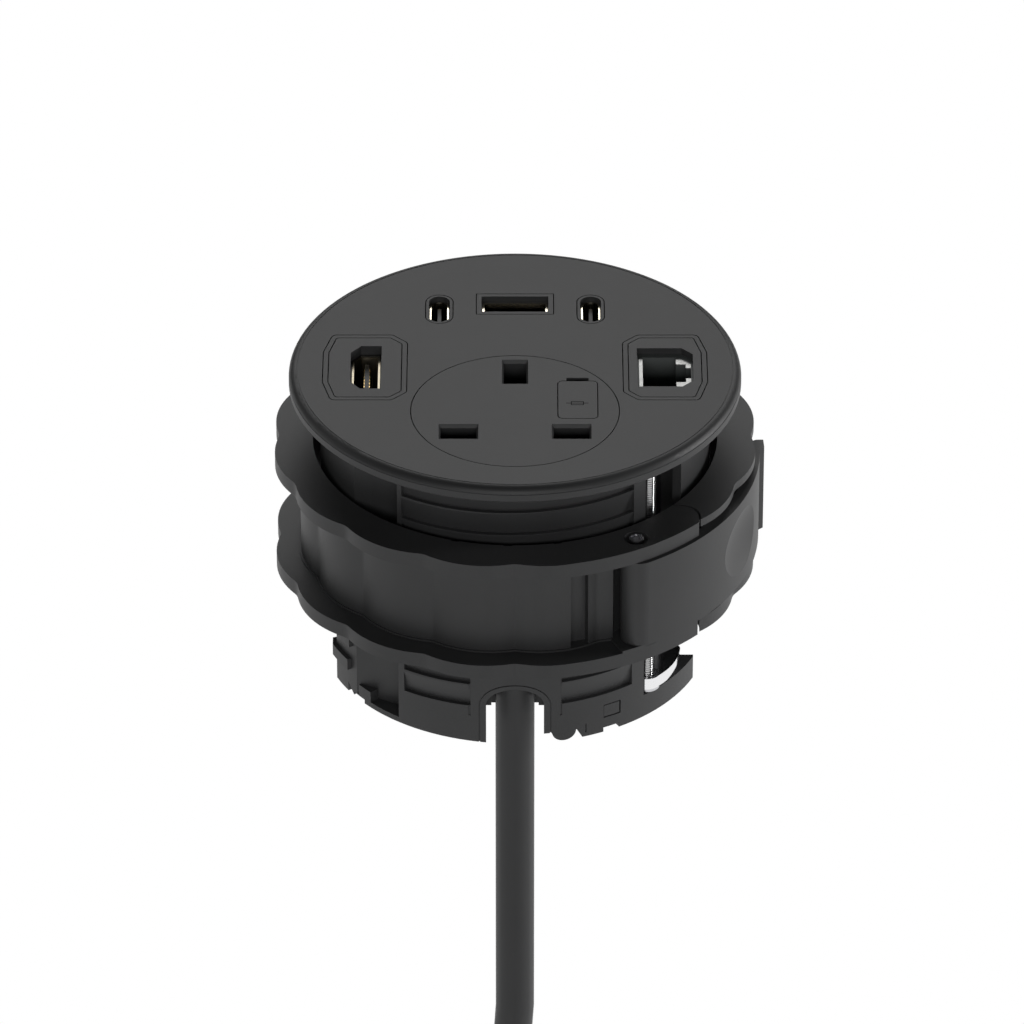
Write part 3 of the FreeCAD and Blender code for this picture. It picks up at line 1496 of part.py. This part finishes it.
def make_cord_tie():
    """Strap round all the turns at the top of the coil."""
    first = coil_point(0.75)
    last = coil_point(coil_turns - 0.25)
    z = first.z
    half = cord_radius + 0.5
    outer = box(-tie_half_width, tie_half_width, first.y - half - tie_wall, last.y + half + tie_wall,
                z - half - tie_wall, z + half + tie_wall)
    inner = box(-tie_half_width - 1, tie_half_width + 1, first.y - half, last.y + half, z - half, z + half)
    return outer.cut(inner)


plug_width = 50.0
plug_height = 46.0
plug_depth = 20.0
relief_length = 22.0


def plug_origin():
    start = tail_start()
    return Vector(start.x, start.y, start.z - tail_length)


def make_plug_body():
    """Moulded three-pin plug, cord entry up, pins towards +Y."""
    o = plug_origin()
    low = o.z - relief_length - plug_height
    high = o.z - relief_length
    w = plug_width / 2
    points = [(-w, low + 12), (-w + 12, low), (w - 12, low), (w, low + 12), (w - 3, high - 5), (w - 9, high),
              (-w + 9, high), (-w + 3, high - 5)]
    wire = rounded_wire(points, 4.0)
    wire.rotate(Vector(0, 0, 0), Vector(1, 0, 0), 90)
    body = Part.Face(wire).extrude(Vector(0, plug_depth, 0))
    body.translate(Vector(o.x, o.y - plug_depth / 2, 0))
    relief = Part.makeCone(cord_radius + 2.6, cord_radius + 1.0, relief_length + 1,
                           Vector(o.x, o.y, high - 1), Vector(0, 0, 1))
    body = body.fuse(relief)
    return body.removeSplitter()


def make_plug_pins():
    o = plug_origin()
    face = o.y + plug_depth / 2
    base = o.z - relief_length - 12.0
    flats = [box(o.x + side * pin_pitch / 2 - 3.175, o.x + side * pin_pitch / 2 + 3.175, face, face + 17.7,
                 base - 2.0, base + 2.0) for side in (-1, 1)]
    earth = box(o.x - 2.0, o.x + 2.0, face, face + 22.7, base - pin_pitch - 4.0, base - pin_pitch + 4.0)
    return flats + [earth]


# Write one file per node

def write(name, shape):
    if isinstance(shape, list):
        shape = Part.makeCompound(shape)
    solids = shape.Solids
    if len(solids) == 1:
        shape = solids[0]
    else:
        shape = Part.makeCompound(solids)
    if not shape.isValid() or not solids:
        print("CHECK", name, "valid", shape.isValid(), "solids", len(solids))
    shape.exportStep(os.path.join("parts", name + ".step"))
    b = shape.BoundBox
    print("%-20s solids %2d  volume %9.1f  box %.1f %.1f %.1f to %.1f %.1f %.1f"
          % (name, len(solids), shape.Volume, b.XMin, b.YMin, b.ZMin, b.XMax, b.YMax, b.ZMax))


def build():
    os.makedirs("parts", exist_ok=True)
    flat_pin = (6.7, 4.2)
    earth_pin = (4.3, 8.3)
    spots = contact_spots()
    nodes = {
        "bezel": make_bezel,
        "barrel": make_barrel,
        "base_cover": make_base_cover,
        "cover_screws": make_cover_screws,
        "socket_insert": make_socket_insert,
        "socket_body": make_socket_body,
        "neutral_contact": lambda: make_contact(spots[0][0], spots[0][1], flat_pin),
        "line_contact": lambda: make_contact(spots[1][0], spots[1][1], flat_pin),
        "earth_contact": lambda: make_contact(spots[2][0], spots[2][1], earth_pin),
        "shutter": make_shutter,
        "shutter_spring": make_shutter_spring,
        "fuse_carrier": make_fuse_carrier,
        "fuse_body": make_fuse_body,
        "fuse_caps": make_fuse_caps,
        "fuse_clips": make_fuse_clips,
        "hdmi_frame": lambda: make_frame(-1),
        "hdmi_plate": make_hdmi_plate,
        "hdmi_shell": make_hdmi_shell,
        "hdmi_tongue": make_hdmi_tongue,
        "hdmi_contacts": make_hdmi_contacts,
        "hdmi_coupler": make_hdmi_coupler,
        "data_frame": lambda: make_frame(1),
        "data_plate": make_data_plate,
        "data_shield": make_data_shield,
        "data_jack": make_data_jack,
        "data_contacts": make_data_contacts,
        "usb_a_surround": make_usb_a_surround,
        "usb_a_shell": make_usb_a_shell,
        "usb_a_tongue": make_usb_a_tongue,
        "usb_a_contacts": make_usb_a_contacts,
        "usb_c_surrounds": make_usb_c_surrounds,
        "usb_c_shells": make_usb_c_shells,
        "usb_c_tongues": make_usb_c_tongues,
        "charger_board": make_charger_board,
        "board_screws": make_board_screws,
        "transformer": make_transformer,
        "capacitors": make_capacitors,
        "terminal_block": make_terminal_block,
        "terminal_screws": make_terminal_screws,
        "inner_wires": lambda: [make_wire(spots[0][0], -2.0), make_wire(spots[1][0], 2.0),
                                make_wire(spots[2][0], 0.0)],
        "cord_gland": make_cord_gland,
        "clamp_bar": make_clamp_bar,
        "clamp_screws": make_clamp_screws,
        "claw_screw_right": make_claw_screw,
        "claw_nut_right": make_claw_nut,
        "claw_right": make_claw,
        "claw_screw_left": lambda: turned(make_claw_screw()),
        "claw_nut_left": lambda: turned(make_claw_nut()),
        "claw_left": lambda: turned(make_claw()),
        "collar_front": make_collar_front,
        "collar_rear": make_collar_rear,
        "hinge_pins": lambda: [hinge_pin(hinge_spot()), hinge_pin(polar(pin_circle, lever_pin_azimuth))],
        "lever": make_lever,
        "cord": make_cord,
        "cord_coil": make_cord_coil,
        "cord_tail": make_cord_tail,
        "cord_tie": make_cord_tie,
        "plug_body": make_plug_body,
        "plug_pins": make_plug_pins,
    }
    for name, maker in nodes.items():
        write(name, maker())


build()
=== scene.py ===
import json
import math

import bpy
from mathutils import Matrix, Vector


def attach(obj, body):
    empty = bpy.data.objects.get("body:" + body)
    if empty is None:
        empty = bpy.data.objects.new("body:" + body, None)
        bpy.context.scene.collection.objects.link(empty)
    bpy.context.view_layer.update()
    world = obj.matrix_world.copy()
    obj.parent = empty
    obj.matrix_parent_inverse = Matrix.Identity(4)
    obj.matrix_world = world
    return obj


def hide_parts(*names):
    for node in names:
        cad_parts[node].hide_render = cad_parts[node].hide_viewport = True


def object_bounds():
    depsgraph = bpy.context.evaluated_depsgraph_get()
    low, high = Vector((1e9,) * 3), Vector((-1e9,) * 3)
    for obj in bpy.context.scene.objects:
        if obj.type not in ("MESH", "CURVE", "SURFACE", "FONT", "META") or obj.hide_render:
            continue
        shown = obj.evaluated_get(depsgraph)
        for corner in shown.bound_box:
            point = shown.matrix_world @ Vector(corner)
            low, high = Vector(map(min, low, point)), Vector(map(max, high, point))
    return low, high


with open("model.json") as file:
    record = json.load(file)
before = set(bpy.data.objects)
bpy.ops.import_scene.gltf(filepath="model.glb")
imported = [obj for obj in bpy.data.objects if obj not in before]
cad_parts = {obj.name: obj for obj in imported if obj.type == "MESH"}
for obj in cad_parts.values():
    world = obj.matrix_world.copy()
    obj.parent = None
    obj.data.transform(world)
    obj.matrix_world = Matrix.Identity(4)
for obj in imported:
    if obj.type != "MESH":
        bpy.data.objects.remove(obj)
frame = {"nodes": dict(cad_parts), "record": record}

nodes = frame["nodes"]
cad_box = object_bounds()
MM = 0.001

# Cord: its length in metres, the rest in millimetres, along a route from the gland to the coil
CORD_RADIUS = 3.9
CORD_Y = -30.3
COIL_RADIUS = 45.0
COIL_PITCH = 8.8
COIL_TURNS = 6
COIL_POINTS = 24
CORD_ROUTE = [(0.0, CORD_Y, -43.0), (0.0, CORD_Y, -102.4), (0.0, CORD_Y, -160.0),
              (-45.0, CORD_Y, -196.0), (-45.0, CORD_Y, -241.0)]
TAIL_END = (-45.0, 22.5, -275.0)

# Claw rods, in millimetres: axis of the right one, its thread, and the levels of end, shoulder and top
ROD_SPOT = (26.3, -25.8)
ROD_RADIUS = 1.5
ROD_ROOT = 1.17
ROD_PITCH = 0.5
ROD_CREST_END = 0.1
ROD_SLOPE_END = 0.55
ROD_TOP_BAND = 0.1
ROD_LEVELS = (-57.4, -55.55, -0.3)
ROD_SIDES = 32

# Fuse symbol, in millimetres: centre, line width, half sizes, and how far it sinks in and stands out
BEZEL_TOP = 3.3
FUSE_MARK = (12.3, -13.45)
FUSE_MARK_LINE = 0.16
FUSE_MARK_REACH = 2.2
FUSE_MARK_BOX = (1.2, 0.6)
FUSE_MARK_DEPTH = 0.15
FUSE_MARK_RISE = 0.01

# Studio: the first two in shares of full white, the others in metres
WORLD_LIGHT = 0.0
FLOOR_REFLECTION = 0.95
FLOOR_SIZE = 12.0
FLOOR_DROP = 0.002

# Name, place, target, size in metres, and watts of each area light
LIGHTS = [
    ("back_softbox", (0.0, 1.35, 0.9), (0.0, 0.0, 0.0), (1.6, 0.6), 9.2),
    ("front_softbox", (0.0, -1.6, 0.5), (0.0, 0.0, -0.03), (1.2, 0.5), 7.8),
    ("left_softbox", (-1.5, 0.4, 0.6), (0.0, 0.0, -0.02), (0.6, 1.0), 2.0),
    ("right_softbox", (1.6, 0.3, 0.15), (0.0, 0.0, -0.03), (0.3, 0.6), 12.0),
]

# Camera: place and lens in millimetres, pitch in degrees
CAMERA_SPOT = (-0.597, -1419.74, 882.29)
CAMERA_PITCH = 57.25
CAMERA_LENS = 295.3
CAMERA_SENSOR = 36.0

# Textures: noise scales per metre, bump depths in metres, and the spread of tone and roughness
TONE_SCALE = 60.0
TONE_SPREAD = 0.06
GRAIN_SCALE = 2600.0
GRAIN_DEPTH = 0.00004
BRUSH_SCALE = 900.0
BRUSH_DEPTH = 0.00003
BRUSH_SPREAD = (0.8, 1.25)

# Colour, roughness, grain and specular level of each plastic
PLASTICS = {
    "dark_plastic": ((0.046, 0.0465, 0.0475), 0.5, 0.3, 0.4),
    "port_plastic": ((0.014, 0.014, 0.014), 0.45, 0.15, 0.4),
    "jack_grey": ((0.12, 0.13, 0.127), 0.5, 0.1, 0.4),
    "pale_plastic": ((0.5, 0.5, 0.48), 0.45, 0.2, 0.4),
    "circuit_board": ((0.02, 0.13, 0.05), 0.3, 0.1, 0.4),
    "ceramic": ((0.8, 0.78, 0.72), 0.25, 0.0, 0.4),
    "core_black": ((0.03, 0.03, 0.03), 0.5, 0.2, 0.4),
    "cord_sheath": ((0.05, 0.0505, 0.0515), 0.5, 0.1, 0.3),
    "mark_black": ((0.004, 0.004, 0.004), 0.8, 0.0, 0.0),
    "wire_sheath": ((0.25, 0.12, 0.06), 0.4, 0.0, 0.4),
}

# Colour, roughness and grain of each metal, and the stretch of its texture where it is drawn along one axis
METALS = {
    "shell_steel": ((0.82, 0.76, 0.62), 0.18, 0.05, (1.0, 1.0, 0.05)),
    "dull_steel": ((0.45, 0.4, 0.3), 0.32, 0.05),
    "shield_steel": ((0.42, 0.42, 0.41), 0.42, 0.05),
    "chrome_steel": ((0.85, 0.85, 0.86), 0.12, 0.0),
    "rod_steel": ((0.7, 0.7, 0.7), 0.14, 0.0),
    "screw_steel": ((0.6, 0.6, 0.62), 0.28, 0.1),
    "brass": ((0.72, 0.5, 0.22), 0.28, 0.1),
    "gold_contacts": ((0.85, 0.6, 0.25), 0.22, 0.0),
    "capacitor_can": ((0.6, 0.62, 0.66), 0.25, 0.0),
}

# Nodes whose finish differs from the one that their slot usually gets
SPECIAL = {
    "hdmi_shell": "dull_steel",
    "data_shield": "shield_steel",
    "data_jack": "jack_grey",
}

# Width in millimetres of the rounded edges that a node gets
BEVEL_ANGLE = 35.0
BEVEL_WIDTHS = {
    "bezel": 0.12,
    "barrel": 0.15,
    "collar_front": 0.25,
    "collar_rear": 0.25,
    "lever": 0.2,
    "socket_insert": 0.1,
    "fuse_carrier": 0.12,
    "hdmi_plate": 0.1,
    "data_plate": 0.1,
    "hdmi_frame": 0.1,
    "data_frame": 0.1,
    "usb_a_surround": 0.12,
    "usb_c_surrounds": 0.12,
    "claw_right": 0.15,
    "claw_left": 0.15,
    "plug_body": 0.8,
    "plug_pins": 0.4,
    "cord_tie": 0.3,
}


def make_camera():
    data = bpy.data.cameras.new("camera")
    data.lens = CAMERA_LENS
    data.sensor_width = CAMERA_SENSOR
    data.clip_start = 0.1
    data.clip_end = 20.0
    camera = bpy.data.objects.new("camera", data)
    camera.location = [v * MM for v in CAMERA_SPOT]
    camera.rotation_euler = (math.radians(CAMERA_PITCH), 0.0, 0.0)
    bpy.context.scene.collection.objects.link(camera)
    bpy.context.scene.camera = camera


def new_material(name):
    material = bpy.data.materials.new(name)
    material.use_nodes = True
    tree = material.node_tree
    return material, tree, tree.nodes["Principled BSDF"]


def object_coordinates(tree, scale):
    coords = tree.nodes.new("ShaderNodeTexCoord")
    mapping = tree.nodes.new("ShaderNodeMapping")
    mapping.inputs["Scale"].default_value = scale
    tree.links.new(coords.outputs["Object"], mapping.inputs["Vector"])
    return mapping.outputs["Vector"]


def add_bump(tree, shader, height, strength, distance):
    bump = tree.nodes.new("ShaderNodeBump")
    bump.inputs["Strength"].default_value = strength
    bump.inputs["Distance"].default_value = distance
    tree.links.new(height, bump.inputs["Height"])
    tree.links.new(bump.outputs["Normal"], shader.inputs["Normal"])


def add_noise(tree, place, scale, detail):
    noise = tree.nodes.new("ShaderNodeTexNoise")
    noise.inputs["Scale"].default_value = scale
    noise.inputs["Detail"].default_value = detail
    tree.links.new(place, noise.inputs["Vector"])
    return noise.outputs["Fac"]


def plastic(name, colour, roughness, grain, specular):
    """Moulded plastic with a fine spark-eroded grain and a slight unevenness of tone."""
    material, tree, shader = new_material(name)
    shader.inputs["Roughness"].default_value = roughness
    shader.inputs["Specular IOR Level"].default_value = specular
    place = object_coordinates(tree, (1.0, 1.0, 1.0))
    tone = add_noise(tree, place, TONE_SCALE, 3.0)
    ramp = tree.nodes.new("ShaderNodeValToRGB")
    ramp.color_ramp.elements[0].position = 0.3
    ramp.color_ramp.elements[1].position = 0.7
    ramp.color_ramp.elements[0].color = [c * (1 - TONE_SPREAD) for c in colour] + [1.0]
    ramp.color_ramp.elements[1].color = [c * (1 + TONE_SPREAD) for c in colour] + [1.0]
    tree.links.new(tone, ramp.inputs["Fac"])
    tree.links.new(ramp.outputs["Color"], shader.inputs["Base Color"])
    if grain > 0:
        add_bump(tree, shader, add_noise(tree, place, GRAIN_SCALE, 2.0), grain, GRAIN_DEPTH)
    return material


def metal(name, colour, roughness, grain, stretch=(1.0, 1.0, 1.0)):
    """Metal with fine drawing lines along the stretched axis."""
    material, tree, shader = new_material(name)
    shader.inputs["Metallic"].default_value = 1.0
    shader.inputs["Base Color"].default_value = list(colour) + [1.0]
    noise = add_noise(tree, object_coordinates(tree, stretch), BRUSH_SCALE, 4.0)
    span = tree.nodes.new("ShaderNodeMapRange")
    span.inputs["To Min"].default_value = roughness * BRUSH_SPREAD[0]
    span.inputs["To Max"].default_value = roughness * BRUSH_SPREAD[1]
    tree.links.new(noise, span.inputs["Value"])
    tree.links.new(span.outputs["Result"], shader.inputs["Roughness"])
    if grain > 0:
        add_bump(tree, shader, noise, grain, BRUSH_DEPTH)
    return material


def make_materials():
    made = {name: plastic(name, *values) for name, values in PLASTICS.items()}
    made.update({name: metal(name, *values) for name, values in METALS.items()})
    return made


materials = make_materials()


def paint(piece, name):
    piece.data.materials.clear()
    piece.data.materials.append(materials[name])


def paint_frame():
    slots = {s["node"]: s["material_slot"] for s in frame["record"]["subparts"]}
    for name, piece in nodes.items():
        paint(piece, SPECIAL.get(name, slots[name]))


def soften_edges():
    """Small rounded edges, as moulded and stamped pieces have."""
    for name, width in BEVEL_WIDTHS.items():
        bevel = nodes[name].modifiers.new("rounded_edges", "BEVEL")
        bevel.width = width * MM
        bevel.segments = 2
        bevel.limit_method = "ANGLE"
        bevel.angle_limit = math.radians(BEVEL_ANGLE)
        bevel.harden_normals = False
        bevel.use_clamp_overlap = True


def coil_point(turn):
    """Control point of the coil, a little outside it because the spline cuts inside its corners."""
    radius = COIL_RADIUS / math.cos(math.pi / COIL_POINTS)
    angle = 2 * math.pi * turn
    centre = CORD_ROUTE[-1][2]
    return (-radius * math.cos(angle), CORD_Y + COIL_PITCH * turn, centre - radius * math.sin(angle))


def make_cord():
    """Whole lead as one smooth tube along the route, the coil and the tail."""
    points = CORD_ROUTE[:-1]
    points += [coil_point(i / COIL_POINTS) for i in range(COIL_TURNS * COIL_POINTS + 1)]
    points.append(TAIL_END)
    curve = bpy.data.curves.new("cord_line", "CURVE")
    curve.dimensions = "3D"
    spline = curve.splines.new("NURBS")
    spline.points.add(len(points) - 1)
    for spot, (x, y, z) in zip(spline.points, points):
        spot.co = (x * MM, y * MM, z * MM, 1.0)
    spline.order_u = 3
    spline.use_endpoint_u = True
    spline.resolution_u = 6
    curve.bevel_depth = CORD_RADIUS * MM
    curve.bevel_resolution = 6
    curve.use_fill_caps = True
    piece = bpy.data.objects.new("mains_cord", curve)
    bpy.context.scene.collection.objects.link(piece)
    curve.materials.append(materials["cord_sheath"])
    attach(piece, "module")
    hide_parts("cord", "cord_coil", "cord_tail")


def mesh_piece(name, points, faces, material, body):
    """Mesh piece of its own, from points in millimetres, which moves with a body."""
    mesh = bpy.data.meshes.new(name)
    mesh.from_pydata([[v * MM for v in p] for p in points], [], faces)
    mesh.materials.append(materials[material])
    piece = bpy.data.objects.new(name, mesh)
    bpy.context.scene.collection.objects.link(piece)
    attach(piece, body)
    return piece


def rod_profile():
    """Radius and height of each ring of the rod: a plain end, then ridges of the thread."""
    low, shoulder, high = ROD_LEVELS
    rings = [(ROD_ROOT, low), (ROD_ROOT, shoulder)]
    ridges = int((high - shoulder) / ROD_PITCH)
    for i in range(ridges):
        z = shoulder + i * ROD_PITCH
        rings.append((ROD_RADIUS, z))
        rings.append((ROD_RADIUS, z + ROD_CREST_END * ROD_PITCH))
        rings.append((ROD_ROOT, z + ROD_SLOPE_END * ROD_PITCH))
    rings.append((ROD_RADIUS, high - ROD_TOP_BAND))
    rings.append((ROD_RADIUS, high))
    return rings


def make_rod(node, side):
    """Threaded rod with its ridges, on the right for side 1 and on the left for side -1."""
    cx = ROD_SPOT[0] * side
    cy = ROD_SPOT[1] * side
    rings = rod_profile()
    points = []
    for radius, z in rings:
        for k in range(ROD_SIDES):
            angle = 2 * math.pi * k / ROD_SIDES
            points.append((cx + radius * math.cos(angle), cy + radius * math.sin(angle), z))
    faces = [list(range(ROD_SIDES))[::-1]]
    for i in range(len(rings) - 1):
        for k in range(ROD_SIDES):
            here = i * ROD_SIDES + k
            beside = i * ROD_SIDES + (k + 1) % ROD_SIDES
            faces.append([here, beside, beside + ROD_SIDES, here + ROD_SIDES])
    last = (len(rings) - 1) * ROD_SIDES
    faces.append(list(range(last, last + ROD_SIDES)))
    piece = mesh_piece(node + "_thread", points, faces, "rod_steel", node)
    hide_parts(node)


def make_fuse_mark():
    """Plain fuse symbol on the carrier: a box with a line through it."""
    x, y = FUSE_MARK
    half_x, half_y = FUSE_MARK_BOX
    t = FUSE_MARK_LINE / 2
    bars = [(x - FUSE_MARK_REACH, x + FUSE_MARK_REACH, y - t, y + t)]
    bars += [(x - half_x, x + half_x, y + side - t, y + side + t) for side in (half_y, -half_y)]
    bars += [(x + side - t, x + side + t, y - half_y, y + half_y) for side in (-half_x, half_x)]
    points = []
    faces = []
    for x0, x1, y0, y1 in bars:
        n = len(points)
        for z in (BEZEL_TOP - FUSE_MARK_DEPTH, BEZEL_TOP + FUSE_MARK_RISE):
            points += [(x0, y0, z), (x1, y0, z), (x1, y1, z), (x0, y1, z)]
        faces += [[n + 3, n + 2, n + 1, n], [n + 4, n + 5, n + 6, n + 7]]
        for k in range(4):
            j = (k + 1) % 4
            faces.append([n + k, n + j, n + 4 + j, n + 4 + k])
    mesh_piece("fuse_mark", points, faces, "mark_black", "fuse_carrier")


def area_light(name, spot, target, size, power):
    data = bpy.data.lights.new(name, "AREA")
    data.shape = "RECTANGLE"
    data.size = size[0]
    data.size_y = size[1]
    data.energy = power
    lamp = bpy.data.objects.new(name, data)
    lamp.location = spot
    lamp.rotation_euler = (Vector(target) - Vector(spot)).to_track_quat("-Z", "Y").to_euler()
    bpy.context.scene.collection.objects.link(lamp)


def make_world():
    """World that looks white to the camera and gives no light to the object."""
    world = bpy.data.worlds.new("studio")
    bpy.context.scene.world = world
    world.use_nodes = True
    tree = world.node_tree
    background = tree.nodes["Background"]
    background.inputs["Color"].default_value = (1.0, 1.0, 1.0, 1.0)
    path = tree.nodes.new("ShaderNodeLightPath")
    seen = tree.nodes.new("ShaderNodeMix")
    seen.data_type = "FLOAT"
    seen.inputs["A"].default_value = WORLD_LIGHT
    seen.inputs["B"].default_value = 1.0
    tree.links.new(path.outputs["Is Camera Ray"], seen.inputs["Factor"])
    tree.links.new(seen.outputs["Result"], background.inputs["Strength"])


def make_floor():
    """Plain pale floor under the lead, plain white to the camera and nearly so in reflections."""
    low = cad_box[0][2] - FLOOR_DROP
    bpy.ops.mesh.primitive_plane_add(size=FLOOR_SIZE, location=(0.0, 0.0, low))
    floor = bpy.context.object
    floor.name = "floor"
    material, tree, shader = new_material("floor_white")
    shader.inputs["Base Color"].default_value = (0.8, 0.8, 0.8, 1.0)
    shader.inputs["Roughness"].default_value = 0.9
    glow = tree.nodes.new("ShaderNodeEmission")
    glow.inputs["Strength"].default_value = 1.0
    path = tree.nodes.new("ShaderNodeLightPath")
    share = tree.nodes.new("ShaderNodeMath")
    share.operation = "MULTIPLY_ADD"
    share.use_clamp = True
    share.inputs[1].default_value = FLOOR_REFLECTION
    tree.links.new(path.outputs["Is Glossy Ray"], share.inputs[0])
    tree.links.new(path.outputs["Is Camera Ray"], share.inputs[2])
    mix = tree.nodes.new("ShaderNodeMixShader")
    tree.links.new(share.outputs["Value"], mix.inputs["Fac"])
    tree.links.new(shader.outputs["BSDF"], mix.inputs[1])
    tree.links.new(glow.outputs["Emission"], mix.inputs[2])
    tree.links.new(mix.outputs["Shader"], tree.nodes["Material Output"].inputs["Surface"])
    floor.data.materials.append(material)


def make_lights():
    for values in LIGHTS:
        area_light(*values)


make_camera()
paint_frame()
soften_edges()
make_cord()
make_rod("claw_screw_right", 1)
make_rod("claw_screw_left", -1)
make_fuse_mark()
make_floor()
make_world()
make_lights()
bpy.context.scene.view_settings.view_transform = "Standard"
